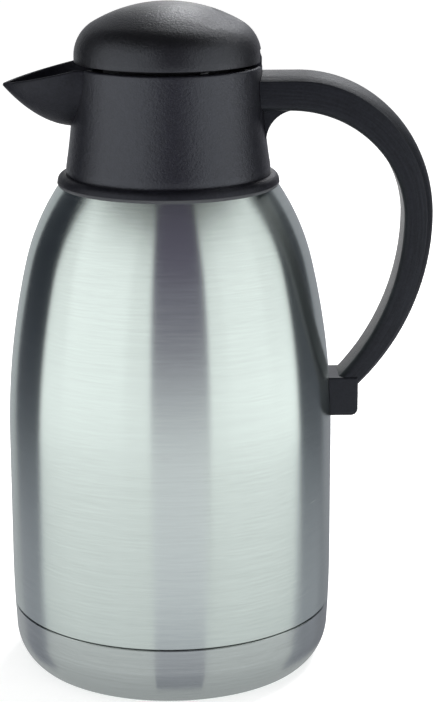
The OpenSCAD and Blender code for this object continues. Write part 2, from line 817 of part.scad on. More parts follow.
module dome_cover() {
    color(black) difference() {
        union() {
            difference() {
                rotate_extrude() dome_profile(0);
                rotate_extrude() translate([0, -0.01]) dome_profile(dome_wall);
                translate([0, 0, dome_z - 1]) cylinder(r = dome_r - dome_wall, h = 2);
            }
            intersection() {
                rotate_extrude() dome_profile(0.5);
                for (a = lid_screw_angles) rotate(a) translate([boss_pitch, 0, plate_top])
                    cylinder(r = boss_r, h = 30);
            }
        }
        scoop_ball();
        for (a = lid_screw_angles) rotate(a) translate([boss_pitch, 0, plate_top - 1])
            cylinder(r = lid_screw_r, h = 7);
        translate([hinge_x, 0, hinge_z]) along_y(notch_w, notch_r);
        translate([hinge_x - notch_r, -notch_w / 2, dome_z - 1])
            cube([notch_r + 6, notch_w, hinge_z - dome_z + 1]);
        translate([hinge_x, -notch_w / 2, dome_z - 1]) cube([notch_r + 6, notch_w, hinge_z - dome_z + 4.4]);
    }
}

module lid_plate() {
    color(black) difference() {
        union() {
            difference() {
                translate([0, 0, plate_z]) cylinder(r = plate_r, h = plate_t);
                translate([hinge_x - notch_r, -notch_w / 2, plate_z - 1])
                    cube([20, notch_w, plate_t + 2]);
            }
            translate([hinge_x, 0, hinge_z]) along_y(knuckle_w, knuckle_r);
            translate([hinge_x - knuckle_r - 2, -knuckle_w / 2, plate_z])
                cube([knuckle_r + 2, knuckle_w, plate_t]);
        }
        translate([hinge_x, 0, hinge_z]) along_y(knuckle_w + 2, pin_r + pin_clear);
        for (a = lid_screw_angles) rotate(a) translate([boss_pitch, 0, plate_z - 1])
            cylinder(r = lid_screw_r + fit_clear, h = 6);
    }
}

module stopper() {
    sleeve_r = flange_r - flange_lip;
    groove_in = stopper_r(seal_z) - 1.4;
    color(black) difference() {
        lathe([
            [0, stopper_foot], [stopper_r(stopper_foot) - 0.8, stopper_foot],
            [stopper_r(stopper_foot), stopper_foot + 0.8],
            [stopper_r(seal_z), seal_z], [groove_in, seal_z], [groove_in, seal_z + seal_h],
            [stopper_r(seal_z + seal_h), seal_z + seal_h],
            [sleeve_r, throat_foot + (sleeve_r + stopper_gap - throat_r) * funnel_steep],
            [sleeve_r, flange_z], [flange_r, flange_z], [flange_r, flange_z + flange_t],
            [sleeve_r - stopper_wall, flange_z + flange_t], [sleeve_r - stopper_wall, flange_z - 3],
            [groove_in - stopper_wall, seal_z + seal_h + stopper_wall],
            [groove_in - stopper_wall, stopper_foot + stopper_wall], [0, stopper_foot + stopper_wall]
        ]);
        for (a = lid_screw_angles) rotate(a) translate([boss_pitch, 0, flange_z - 1])
            cylinder(r = lid_screw_r + fit_clear, h = 6);
    }
}

module stopper_seal() {
    groove_in = stopper_r(seal_z) - 1.4;
    lip_low = funnel_r(seal_z) - move_clear;
    lip_high = funnel_r(seal_z + seal_h) - move_clear;
    color(soft_grey) lathe([
        [groove_in, seal_z], [lip_low - 0.6, seal_z], [lip_low, seal_z + 0.5],
        [lip_high, seal_z + seal_h - 0.2], [lip_high - 0.6, seal_z + seal_h], [groove_in, seal_z + seal_h]
    ]);
}

module lid_foam() {
    r0 = stopper_r(seal_z) - 1.4 - stopper_wall - 0.3;
    z0 = stopper_foot + stopper_wall + 0.2;
    color(foam_white) translate([0, 0, z0]) cylinder(r = r0, h = plate_z - z0 - 0.2);
}

module lid_screws() {
    color(dark_steel) for (a = lid_screw_angles) rotate(a) translate([boss_pitch, 0, flange_z]) difference() {
        union() {
            translate([0, 0, -lid_screw_head_t]) cylinder(r = lid_screw_head_r, h = lid_screw_head_t);
            translate([0, 0, -0.5]) cylinder(r = lid_screw_r, h = flange_t + plate_t + lid_screw_bite);
        }
        translate([0, 0, -lid_screw_head_t]) cross_recess(1.4);
    }
}

outer_shell();
shell_shoulder();
neck_tube();
base_cap();
vacuum_bottom();
vent_seal();
getter();
inner_bottle();
inner_shoulder();
bottle_neck();
inner_bottom();
neck_ring();
mouth_seal();
collar_gasket();
collar();
pour_insert();
handle();
handle_top_screws();
handle_bracket();
lug_screw();
lug_cap();
hinge_pin();
dome_cover();
lid_plate();
lid_foam();
stopper();
stopper_seal();
lid_screws();
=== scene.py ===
"""Looks of a vacuum carafe: brushed steel body, black collar with a spout, black handle and a domed lid."""
import math
from types import SimpleNamespace

import bmesh
import bpy
from mathutils import Matrix, Vector


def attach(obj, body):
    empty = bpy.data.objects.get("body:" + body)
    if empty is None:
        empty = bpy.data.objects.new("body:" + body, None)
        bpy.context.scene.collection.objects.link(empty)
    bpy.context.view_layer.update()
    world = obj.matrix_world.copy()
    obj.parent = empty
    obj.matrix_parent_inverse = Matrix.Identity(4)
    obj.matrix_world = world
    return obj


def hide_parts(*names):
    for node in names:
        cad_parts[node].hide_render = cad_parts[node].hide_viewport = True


bl_info = {
    "name": "Vacuum carafe",
    "version": (1, 0, 0),
    "blender": (4, 5, 0),
    "location": "3D View > Sidebar > Carafe",
    "description": "Builds the visible pieces of a vacuum carafe, and the studio around it",
    "category": "Object",
}

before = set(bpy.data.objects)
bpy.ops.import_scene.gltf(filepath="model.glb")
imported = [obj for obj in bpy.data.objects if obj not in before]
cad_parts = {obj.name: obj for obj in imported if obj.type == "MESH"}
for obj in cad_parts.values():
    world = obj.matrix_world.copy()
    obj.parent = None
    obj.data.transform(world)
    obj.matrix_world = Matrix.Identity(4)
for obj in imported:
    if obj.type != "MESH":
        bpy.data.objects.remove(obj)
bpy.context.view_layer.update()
# Faces around the axis of a round piece that shows
FINE = 256


def length(name, default, description):
    return bpy.props.FloatProperty(name=name, default=default, description=description, unit="LENGTH",
                                   precision=4)


def colour(name, default, description):
    return bpy.props.FloatVectorProperty(name=name, default=default, description=description,
                                         subtype="COLOR", size=3, min=0.0, max=1.0)


class BodySizes(bpy.types.PropertyGroup):
    radius: length("Radius", 0.07, "Widest radius of the steel body")
    straight: length("Straight height", 0.101, "Height at which the shoulder starts to curve in")
    low_rise: length("Lower curve height", 0.076, "Height of the long lower curve of the shoulder")
    low_r: length("Lower curve radius", 0.334, "Radius of the long lower curve")
    top_rise: length("Upper curve height", 0.0365, "Height of the tight upper curve")
    top_r: length("Upper curve radius", 0.099, "Radius of the tight upper curve")
    neck_r: length("Neck radius", 0.034, "Outer radius of the neck")
    neck_rise: length("Neck height", 0.0175, "Height of the neck above the shoulder")
    wall: length("Wall", 0.0006, "Wall of the outer shell")
    seam: length("Seam height", 0.0262, "Height of the seam above the ground")
    seam_w: length("Seam width", 0.0005, "Width of the seam's groove")
    foot_r: length("Foot radius", 0.0615, "Radius of the flat foot")
    round_h: length("Edge height", 0.0165, "Height at which the base's rounded edge ends")
    draw: length("Base draw", 0.0009, "How much smaller the base's radius is than the body's")
    hollow: length("Hollow depth", 0.003, "Depth of the hollow under the foot")
    hollow_r: length("Hollow radius", 0.052, "Radius of the hollow under the foot")


class CollarSizes(bpy.types.PropertyGroup):
    rim_r: length("Rim radius", 0.0397, "Outer radius of the collar at its rim")
    rim_z: length("Rim height", 0.261, "Height of the rim above the ground")
    wall: length("Wall", 0.0024, "Wall of the collar")
    bead_r: length("Roll radius", 0.0031, "Radius of the roll at the collar's foot")
    bead_mid: length("Roll centre", 0.04392, "Distance of the roll's centre from the axis")
    bead_z: length("Roll height", 0.2123, "Height of the roll's centre")
    flare_z: length("Flare height", 0.2186, "Height at which the flare over the roll ends")
    flare_r: length("Flare radius", 0.04322, "Radius where the flare over the roll ends")
    spout_reach: length("Spout reach", 0.0691, "Reach of the spout's tip from the axis")
    spout_half: length("Spout half width", 0.0197, "Half of the spout's width at the collar")
    spout_depth: length("Spout depth", 0.0256, "Depth of the spout below the rim at the collar")
    tip_drop: length("Tip drop", 0.0074, "Drop of the spout's tip below the rim")
    spout_wall: length("Spout wall", 0.0019, "Wall of the spout")
    throat_r: length("Throat radius", 0.025, "Radius of the throat at its foot")
    throat_z: length("Throat height", 0.233, "Height of the throat's foot")
    steep: bpy.props.FloatProperty(name="Funnel slope", default=1.82,
                                   description="Rise of the funnel for each millimetre it widens")


class HandleSizes(bpy.types.PropertyGroup):
    top: length("Top height", 0.2583, "Height of the handle's top")
    under: length("Arm's underside", 0.2423, "Height of the arm's underside")
    reach: length("Reach", 0.1128, "Reach of the grip's outer face from the axis")
    inside: length("Inner reach", 0.0998, "Reach of the grip's inner face from the axis")
    mid_z: length("Grip height", 0.1958, "Height of the grip's widest reach")
    bend_out: length("Outer bend start", 0.0549, "Where the outer bend starts")
    bend_in: length("Inner bend start", 0.0511, "Where the inner bend starts")
    sweep_r: length("Sweep radius", 0.10335, "Radius of the lower sweep, outside")
    half_w: length("Half width", 0.0115, "Half of the grip's width")
    crown: length("Crown", 0.0033, "Crown of the grip's outer face")
    edge_r: length("Edge radius", 0.003, "Radius of the grip's inner edges")
    lug_z: length("Lug height", 0.1185, "Height of the lug's middle")
    lug_h: length("Lug size", 0.017, "Height of the lug")
    lug_reach: length("Lug reach", 0.081, "Reach of the lug from the axis")
    lug_half: length("Lug half width", 0.011, "Half of the lug's width")


class LidSizes(bpy.types.PropertyGroup):
    radius: length("Radius", 0.0393, "Radius of the dome at its edge")
    edge_z: length("Edge height", 0.2624, "Height of the dome's edge")
    rise: length("Rise", 0.0248, "Height of the dome above its edge")
    top_r: length("Top radius", 0.062, "Radius of the dome's top")
    side_r: length("Shoulder radius", 0.016, "Radius of the dome's shoulder")
    wall: length("Wall", 0.0022, "Wall of the dome")
    scoop_r: length("Scoop radius", 0.03, "Radius of the thumb scoop")
    scoop_depth: length("Scoop depth", 0.0013, "Depth of the thumb scoop")
    hinge_x: length("Hinge distance", 0.0367, "Distance of the hinge from the axis")
    hinge_z: length("Hinge height", 0.2641, "Height of the hinge")
    hinge_w: length("Hinge width", 0.012, "Width of the hinge over the collar's ears")
    ear_t: length("Ear thickness", 0.0025, "Thickness of each of the collar's ears")
    knuckle_r: length("Knuckle radius", 0.0026, "Radius of the hinge's knuckles")


class Finishes(bpy.types.PropertyGroup):
    steel: colour("Steel", (0.725, 0.815, 0.775), "Brushed steel of the body")
    # Darker than the body's steel: painted shade for the base's darker reflections near the floor.
    base_steel: colour("Base steel", (0.62, 0.68, 0.66), "Brushed steel of the base")
    collar: colour("Collar", (0.004, 0.004, 0.0062), "Black plastic of the collar")
    dome: colour("Dome", (0.004, 0.004, 0.0047), "Black plastic of the dome")
    handle: colour("Handle", (0.004, 0.0045, 0.006), "Black plastic of the handle")
    gasket: colour("Gasket", (0.10, 0.105, 0.115), "Soft grey of the gasket")
    floor: colour("Floor", (0.88, 0.88, 0.88), "Plain pale floor")


# Shader expressions

class Term:
    """A value socket that takes part in Python expressions."""

    def __init__(self, shader, socket):
        self.shader = shader
        self.socket = socket

    def _math(self, operation, *values):
        return self.shader.node("ShaderNodeMath", {"operation": operation}, dict(enumerate(values)))

    def __add__(self, other):
        return self._math("ADD", self, other)

    def __sub__(self, other):
        return self._math("SUBTRACT", self, other)

    def __rsub__(self, other):
        return self._math("SUBTRACT", other, self)

    def __mul__(self, other):
        return self._math("MULTIPLY", self, other)

    __radd__ = __add__
    __rmul__ = __mul__


class Shader:
    """The nodes of a material or of the world, with one way to add each of them."""

    def __init__(self, name, family="materials"):
        self.made = getattr(bpy.data, family).new(name)
        self.made.use_nodes = True
        self.tree = self.made.node_tree
        self.tree.nodes.clear()

    def node(self, kind, settings=None, inputs=None, output=0):
        """Adds a node with its settings and inputs, and gives one of its outputs."""
        node = self.tree.nodes.new(kind)
        for name, value in (settings or {}).items():
            if name == "stops":
                ramp = node.color_ramp
                while len(ramp.elements) < len(value):
                    ramp.elements.new(0.5)
                for element, (place, shade) in zip(ramp.elements, value):
                    element.position = place
                    element.color = (*shade, 1) if isinstance(shade, tuple) else (shade, shade, shade, 1)
            else:
                setattr(node, name, value)
        for name, value in (inputs or {}).items():
            socket = node.inputs[name]
            if isinstance(value, Term):
                self.tree.links.new(value.socket, socket)
            elif socket.type == "RGBA":
                socket.default_value = (*value, 1)
            else:
                socket.default_value = value
        return None if output is None else Term(self, node.outputs[output])

    def place(self, scale, kind="Object"):
        coords = self.node("ShaderNodeTexCoord", output=kind)
        return self.node("ShaderNodeMapping", {"vector_type": "POINT"}, {"Vector": coords, "Scale": scale})

    def noise(self, scale, detail, rough, kind="Object"):
        return self.node("ShaderNodeTexNoise", {}, {
            "Vector": self.place(scale, kind), "Scale": 1.0, "Detail": detail, "Roughness": rough})

    def ramp(self, value, *stops):
        return self.node("ShaderNodeValToRGB", {"stops": stops}, {"Fac": value})

    def mix(self, factor, first, second):
        return self.node("ShaderNodeMix", {"data_type": "RGBA"}, {0: factor, 6: first, 7: second}, 2)

    def bump(self, height, strength, distance):
        return self.node("ShaderNodeBump", {}, {
            "Height": height, "Strength": strength, "Distance": distance})

    def seen(self):
        """One for rays from the camera, from mirrors and through glass, and otherwise nothing."""
        rays = ("Is Camera Ray", "Is Glossy Ray", "Is Transmission Ray")
        return sum(self.node("ShaderNodeLightPath", output=ray) for ray in rays)

    def surface(self, shader, kind="ShaderNodeOutputMaterial"):
        self.node(kind, {}, {"Surface": shader}, None)
        return self.made

    def finish(self, **inputs):
        names = {key.replace("_", " "): value for key, value in inputs.items()}
        return self.surface(self.node("ShaderNodeBsdfPrincipled", {}, names))


# Meshes

def arc(centre, radius, start, end, steps):
    """Points on an arc, angles in degrees from the first axis."""
    turns = [math.radians(start + (end - start) * i / steps) for i in range(steps + 1)]
    return [(centre[0] + radius * math.cos(a), centre[1] + radius * math.sin(a)) for a in turns]


def solid(name, points, faces):
    mesh = bpy.data.meshes.new(name)
    mesh.from_pydata(points, [], faces)
    mesh.validate()
    piece = bpy.data.objects.new(name, mesh)
    bpy.context.collection.objects.link(piece)
    return piece


def lathe(name, outline, steps=192):
    """Turns a closed outline of (radius, height) points about Z. Points on the axis become poles."""
    on_axis = 1e-7
    points, rings = [], []
    for r, z in outline:
        if r < on_axis:
            rings.append([len(points)])
            points.append((0, 0, z))
        else:
            rings.append(list(range(len(points), len(points) + steps)))
            points += [(r * math.cos(2 * math.pi * i / steps), r * math.sin(2 * math.pi * i / steps), z)
                       for i in range(steps)]
    faces = []
    for low, high in zip(rings, rings[1:] + rings[:1]):
        if len(low) == 1 and len(high) == 1:
            continue
        for i in range(steps):
            j = (i + 1) % steps
            if len(low) == 1:
                faces.append((low[0], high[j], high[i]))
            elif len(high) == 1:
                faces.append((low[i], low[j], high[0]))
            else:
                faces.append((low[i], low[j], high[j], high[i]))
    return solid(name, points, faces)


def loft(name, rings, caps=None):
    """Joins closed rings of points into a skin. Without caps of its own, each end is one face."""
    count = len(rings[0])
    points = [p for ring in rings for p in ring]
    faces = []
    for k in range(len(rings) - 1):
        for i in range(count):
            j = (i + 1) % count
            faces.append((k * count + i, k * count + j, (k + 1) * count + j, (k + 1) * count + i))
    last = (len(rings) - 1) * count
    if caps is None:
        faces += [tuple(range(count - 1, -1, -1)), tuple(range(last, last + count))]
    else:
        for strip in caps:
            faces.append(tuple(reversed(strip)))
            faces.append(tuple(last + i for i in strip))
    return solid(name, points, faces)


def slab(name, outline, y0, y1):
    """Extrudes an outline of (x, z) points along Y."""
    return loft(name, [[(x, y, z) for x, z in outline] for y in (y0, y1)])


def turned(name, outline, axis):
    """A lathe whose axis is turned from Z to X or Y."""
    piece = lathe(name, outline, 64)
    piece.data.transform(Matrix.Rotation(math.radians(90), 4, "Y" if axis == "X" else "X"))
    return piece


def shift(piece, x, z):
    piece.data.transform(Matrix.Translation((x, 0, z)))
    return piece


def tidy_normals(piece):
    """Turns all faces outwards."""
    work = bmesh.new()
    work.from_mesh(piece.data)
    bmesh.ops.recalc_face_normals(work, faces=work.faces)
    work.to_mesh(piece.data)
    work.free()


def settle(piece):
    """Turns a piece with a modifier into a plain mesh."""
    bpy.context.view_layer.update()
    done = piece.evaluated_get(bpy.context.evaluated_depsgraph_get())
    mesh = bpy.data.meshes.new_from_object(done)
    piece.modifiers.clear()
    piece.data = mesh


def carve(piece, tool, operation="DIFFERENCE"):
    """Cuts a tool out of a piece, or joins the two, and removes the tool."""
    tidy_normals(piece)
    tidy_normals(tool)
    change = piece.modifiers.new("carve", "BOOLEAN")
    change.operation = operation
    change.solver = "EXACT"
    change.object = tool
    settle(piece)
    bpy.data.objects.remove(tool)


def bevel(piece, width):
    """Rounds the sharp edges of a piece."""
    change = piece.modifiers.new("bevel", "BEVEL")
    change.width = width
    change.segments = 3
    change.limit_method = "ANGLE"
    change.angle_limit = math.radians(50)
    tidy_normals(piece)
    settle(piece)


def clean(piece, angle):
    """Welds stray points, turns the faces out and shades smooth up to an angle in degrees."""
    weld = 2e-6
    work = bmesh.new()
    work.from_mesh(piece.data)
    bmesh.ops.remove_doubles(work, verts=work.verts, dist=weld)
    bmesh.ops.dissolve_degenerate(work, edges=work.edges, dist=weld)
    bmesh.ops.recalc_face_normals(work, faces=work.faces)
    work.to_mesh(piece.data)
    work.free()
    piece.data.shade_smooth()
    piece.data.set_sharp_from_angle(angle=math.radians(angle))
    return piece


def show(piece, material, body, nodes):
    """Gives a piece its material, its body and the nodes that it stands for."""
    piece.data.materials.clear()
    piece.data.materials.append(material)
    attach(piece, body)
    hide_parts(*nodes)


# Shapes of the carafe

def shell_radius(s, z):
    """Outer radius of the body at a height: the base's taper, the straight part and the two curves."""
    taper_h = 0.020
    taper = s.seam + taper_h
    bend_z = s.straight + s.low_rise
    low = math.asin(s.low_rise / s.low_r)
    bend_r = s.radius - s.low_r * (1 - math.cos(low))
    if z < taper:
        return s.radius - s.draw * ((taper - z) / (taper - s.round_h)) ** 2
    if z < s.straight:
        return s.radius
    if z < bend_z:
        return s.radius - s.low_r + math.sqrt(s.low_r ** 2 - (z - s.straight) ** 2)
    return bend_r - s.top_r * math.cos(low) + math.sqrt(
        s.top_r ** 2 - (z - bend_z + s.top_r * math.sin(low)) ** 2)


def base_radius(s, z):
    """Outer radius of the base, whose rounded edge is part of an ellipse."""
    if z > s.round_h:
        return shell_radius(s, z)
    bend = 0.86
    t = bend * (s.round_h - z) / s.round_h
    side = s.radius - s.draw
    return side - (side - s.foot_r) * (1 - math.sqrt(1 - t * t)) / (1 - math.sqrt(1 - bend * bend))


def shoulder(s):
    """Height at which the shoulder meets the neck."""
    return s.straight + s.low_rise + s.top_rise


def collar_radius(c, z):
    """Outer radius of the collar at a height, with the flare over the roll."""
    if z > c.flare_z:
        return c.rim_r + (c.flare_r - c.rim_r) * ((c.rim_z - z) / (c.rim_z - c.flare_z)) ** 2
    foot_spread = 0.0014
    down = (c.flare_z - z) / (c.flare_z - c.bead_z)
    return c.flare_r + foot_spread * (1 - math.sqrt(max(0, 1 - down ** 2)))


def build_shell(s):
    """The outer shell as one turned wall, with its shoulder and its neck."""
    foot = s.seam + s.seam_w / 2
    top = shoulder(s)
    neck_top = top + s.neck_rise
    lip, fold, fold_h = 0.0003, 0.0018, 0.0006
    neck_fillet = ((0.0015, 0.0006), (0.0003, 0.0012), (0, 0.0021))
    inner_rise, inner_spread = 0.0014, 0.001
    steps = 150
    zs = [foot + lip + (top - foot - lip) * i / steps for i in range(steps + 1)]
    outside = [(shell_radius(s, z), z) for z in zs]
    inside = [(r - s.wall, z - s.wall * (z > s.straight + s.low_rise)) for r, z in outside]
    side = shell_radius(s, foot)
    outline = [(side - fold, foot), (side - lip, foot)] + outside
    outline += [(s.neck_r + out, top + up) for out, up in neck_fillet]
    outline += [(s.neck_r, neck_top), (s.neck_r - s.wall, neck_top), (s.neck_r - s.wall, top + inner_rise)]
    outline += [(s.neck_r + inner_spread, top - s.wall)] + inside[::-1] + [(side - fold, foot + fold_h)]
    return clean(lathe("steel_shell", outline, FINE), 40)


def build_base(s):
    """The base cap with its rounded edge, its flat foot and the hollow inside the foot."""
    top = s.seam - s.seam_w / 2
    wall, lip, fit = 0.0008, 0.0003, 0.0001
    step, slope = 0.003, 0.002
    steps = 30
    rises = [s.round_h * (i / steps) ** 1.5 for i in range(steps + 1)]
    outside = [(base_radius(s, z), z) for z in rises]
    outside += [(shell_radius(s, z), z) for z in (s.round_h + step, s.round_h + 2 * step, top - lip)]
    outside += [(shell_radius(s, top) - lip, top)]
    inside = [(r - wall, z + wall * (1 - z / s.round_h)) for r, z in outside if z <= s.round_h]
    skirt = s.radius - s.draw - wall - fit
    outline = [(0, s.hollow), (s.hollow_r - slope, s.hollow), (s.hollow_r, 0)] + outside
    outline += [(skirt, top)] + inside[::-1]
    outline += [(s.hollow_r + wall / 2, wall), (s.hollow_r + wall / 2 - slope, s.hollow + wall)]
    outline += [(0, s.hollow + wall)]
    return clean(lathe("base_steel", outline, FINE), 40)


def spout_shape(c):
    """The spout's start, and its half width, edge, keel and reach as functions."""
    overlap, tip, below_rim, tip_depth = 0.0015, 0.0004, 0.0001, 0.0011
    start = c.rim_r - overlap
    run = c.spout_reach - start
    narrow = c.spout_half - tip
    side = (run ** 2 + narrow ** 2) / (2 * narrow)

    def half(x):
        if x < start:
            return c.spout_half
        return math.sqrt(side ** 2 - (x - start) ** 2) - (side - c.spout_half)

    def edge(x):
        return c.rim_z - below_rim - c.tip_drop * max(0, x - start) / run

    def keel(x):
        rise = c.spout_depth - c.tip_drop - tip_depth
        return c.rim_z - c.spout_depth + rise * (max(0, x - start) / run) ** 2

    def reach(inset):
        return math.sqrt(side ** 2 - (side - c.spout_half + inset + tip) ** 2)

    return SimpleNamespace(start=start, half=half, edge=edge, keel=keel, reach=reach)


def spout_places(spout, root, inset, count):
    """Distances from the axis of the spout's sections, closer together at its tip."""
    return [root, (root + spout.start) / 2] + [
        spout.start + spout.reach(inset) * math.sin(math.radians(90 * i / count)) for i in range(count + 1)]


def lip_points(start, end, lift, steps):
    """Points of the rounded lip between the ends of two walls."""
    points = []
    for j in range(1, steps):
        t = (1 - math.cos(math.pi * j / steps)) / 2
        x, y, z = (start[k] * (1 - t) + end[k] * t for k in range(3))
        points.append((x, y, z + lift * math.sin(math.pi * j / steps)))
    return points


def spout_trough(c, root):
    """The spout as one closed U-shaped skin with a rounded lip."""
    spout = spout_shape(c)
    lip, least_depth = c.spout_wall / 2, 0.0002
    around_u, along, around_lip = 40, 44, 8
    turns = [math.radians(180 * j / around_u) for j in range(around_u + 1)]
    rings = []
    for xo, xi in zip(spout_places(spout, root, 0, along), spout_places(spout, root, c.spout_wall, along)):
        top, top_in = spout.edge(xo) - lip, spout.edge(xi) - lip
        wide, wide_in = spout.half(xo), spout.half(xi) - c.spout_wall
        deep = top - spout.keel(xo)
        deep_in = max(least_depth, top_in - spout.keel(xi) - c.spout_wall)
        outer = [(-xo, -wide * math.cos(a), top - deep * math.sin(a)) for a in turns]
        inner = [(-xi, wide_in * math.cos(a), top_in - deep_in * math.sin(a)) for a in turns]
        right = lip_points(outer[-1], inner[0], lip, around_lip)
        left = lip_points(inner[-1], outer[0], lip, around_lip)
        rings.append(outer + right + inner + left)
    first_in = around_u + around_lip
    last_in = first_in + around_u
    strips = [(j, j + 1, last_in - j - 1, last_in - j) for j in range(around_u)]
    strips.append(tuple(range(around_u, first_in + 1)))
    strips.append(tuple(range(last_in, last_in + around_lip)) + (0,))
    return loft("trough", rings, strips)


def spout_cutter(c, root, inset, rise):
    """The space inside the spout, which opens the collar's wall."""
    spout = spout_shape(c)
    steps = 30
    turns = [math.radians(180 * j / steps) for j in range(steps + 1)]
    rings = []
    for x in spout_places(spout, root, inset, steps):
        wide, top = spout.half(x) - inset, spout.edge(x)
        deep = top - spout.keel(x) - inset
        bowl = [(-x, -wide * math.cos(a), top - deep * math.sin(a)) for a in turns]
        rings.append([(-x, -wide, top + rise)] + bowl + [(-x, wide, top + rise)])
    return loft("cutter", rings)


def collar_skin(c, bowl_r, ledge, seat_z):
    """The collar's wall as one turned piece, from the seat on the body up to the rounded rim."""
    bore_r, foot_rise, bead_in = 0.0386, 0.004, 0.001
    edge_r, chamfer = 0.0011, 0.0006
    ledge_low, ledge_z = 0.2515, 0.254
    steps, first = 60, 6
    side = [(collar_radius(c, z), z) for z in
            (c.bead_z + (c.rim_z - edge_r - c.bead_z) * (i / steps) for i in range(first, steps + 1))]
    outline = [(bore_r, seat_z + foot_rise), (bore_r, c.throat_z + foot_rise), (bowl_r + ledge, ledge_low)]
    outline += [(bowl_r + ledge, ledge_z), (bowl_r, ledge_z), (bowl_r, c.rim_z - chamfer)]
    outline += [(bowl_r + chamfer, c.rim_z)]
    outline += arc((c.rim_r - edge_r, c.rim_z - edge_r), edge_r, 90, 0, 8)
    outline += side[::-1][1:] + [(c.bead_mid - bead_in, c.bead_z), (bore_r, c.bead_z)]
    return lathe("collar_skin", outline, FINE)


def add_ears(collar, c, lid):
    """Joins the two ears of the hinge to the collar and bores them for the pin."""
    half, root_z = lid.hinge_w / 2, c.rim_z - 0.004
    for low_y in (-half, half - lid.ear_t):
        ear = [(lid.hinge_x + lid.knuckle_r, root_z)]
        ear += arc((lid.hinge_x, lid.hinge_z), lid.knuckle_r, 0, 180, 20)
        ear += [(lid.hinge_x - lid.knuckle_r, root_z)]
        carve(collar, slab("ear", ear, low_y, low_y + lid.ear_t), "UNION")
    pin_r, reach = 0.00125, 0.015
    bore = turned("bore", [(0, -reach), (pin_r, -reach), (pin_r, reach), (0, reach)], "Y")
    carve(collar, shift(bore, lid.hinge_x, lid.hinge_z))


def build_collar(c, b, lid):
    """The collar with its roll, its seat on the body, the spout and the ears."""
    ledge, seat_drop = 0.0009, 0.0031
    root, clear = 0.024, 0.012
    gasket_out, gasket_up, gasket_end = 0.00065, 0.00112, 0.0003
    bowl_r = c.rim_r - c.wall - ledge
    seat_z = shoulder(b) - seat_drop
    gasket = [(shell_radius(b, z) + gasket_out, z + gasket_up) for z in
              (seat_z + (shoulder(b) - gasket_end - seat_z) * i / 6 for i in range(7))]
    collar = collar_skin(c, bowl_r, ledge, seat_z)
    roll_steps = 48
    roll = arc((c.bead_mid, c.bead_z), c.bead_r, 0, 360 - 360 / roll_steps, roll_steps - 1)
    carve(collar, lathe("bead", roll, FINE), "UNION")
    under = [(0, seat_z - clear), (b.radius, seat_z - clear), (b.radius, gasket[0][1])]
    carve(collar, lathe("under", under + gasket + [(0, gasket[-1][1])], FINE))
    carve(collar, spout_cutter(c, root, c.spout_wall / 2, clear))
    trough = spout_trough(c, root)
    cone_foot, cone_top, foot_drop = 0.228, 0.275, 0.005
    cone = [(0, cone_foot), (c.throat_r - foot_drop / c.steep, cone_foot)]
    cone += [(bowl_r, c.throat_z + (bowl_r - c.throat_r) * c.steep), (bowl_r, cone_top), (0, cone_top)]
    carve(trough, lathe("cone", cone))
    carve(collar, trough, "UNION")
    add_ears(collar, c, lid)
    collar.name = "collar_and_spout"
    return clean(collar, 38)


def dull_faces(collar, c):
    """Gives the spout and the roll the collar's second material."""
    near, past_wall, radial, below_rim = 0.0008, 0.0005, 0.93, 0.0015
    for face in collar.data.polygons:
        x, y, z = face.center
        away = math.hypot(x, y)
        past = away - collar_radius(c, z)
        outward = (x * face.normal.x + y * face.normal.y) / away
        flank = past > -near and outward < radial and z < c.rim_z - below_rim
        on_spout = x < 0 and (past > past_wall or flank)
        face.material_index = int(z < c.bead_z + c.bead_r or on_spout)


def handle_section(h, inner, outer, half):
    """Points around the grip's section between an inner and an outer point in the XZ plane."""
    dx, dz = outer[0] - inner[0], outer[1] - inner[1]
    depth = math.hypot(dx, dz)
    ux, uz = dx / depth, dz / depth
    inner_r, outer_r = h.edge_r, 0.0006
    rounding, crowning = 8, 16
    edge = depth - h.crown - outer_r
    flat = []
    for i in range(rounding + 1):
        a = math.radians(90 * i / rounding)
        flat.append((inner_r - inner_r * math.cos(a), -half + inner_r - inner_r * math.sin(a)))
    flat.append((edge, -half))
    for a in (math.radians(t) for t in (20, 40, 60)):
        flat.append((edge + outer_r * math.sin(a), -half + outer_r - outer_r * math.cos(a)))
    back = [(t, -y) for t, y in reversed(flat)]
    first = flat[-1]
    for i in range(1, crowning):
        s = -1 + 2 * i / crowning
        flat.append((first[0] + (depth - first[0]) * (1 - s * s), -first[1] * s))
    return [(inner[0] + ux * t, y, inner[1] + uz * t) for t, y in flat + back]


def grain_along(piece, rings):
    """Maps a loft so that its first map axis runs along it and the second one across it, in metres."""
    count = len(rings[0])
    run = [0.0]
    for a, b in zip(rings, rings[1:]):
        run.append(run[-1] + math.dist(a[0], b[0]))
    layer = piece.data.uv_layers.new(name="along")
    for loop in piece.data.loops:
        ring, k = divmod(loop.vertex_index, count)
        across = rings[ring][k][1] + math.dist(rings[ring][k][::2], rings[ring][0][::2])
        layer.data[loop.index].uv = (run[ring], across)


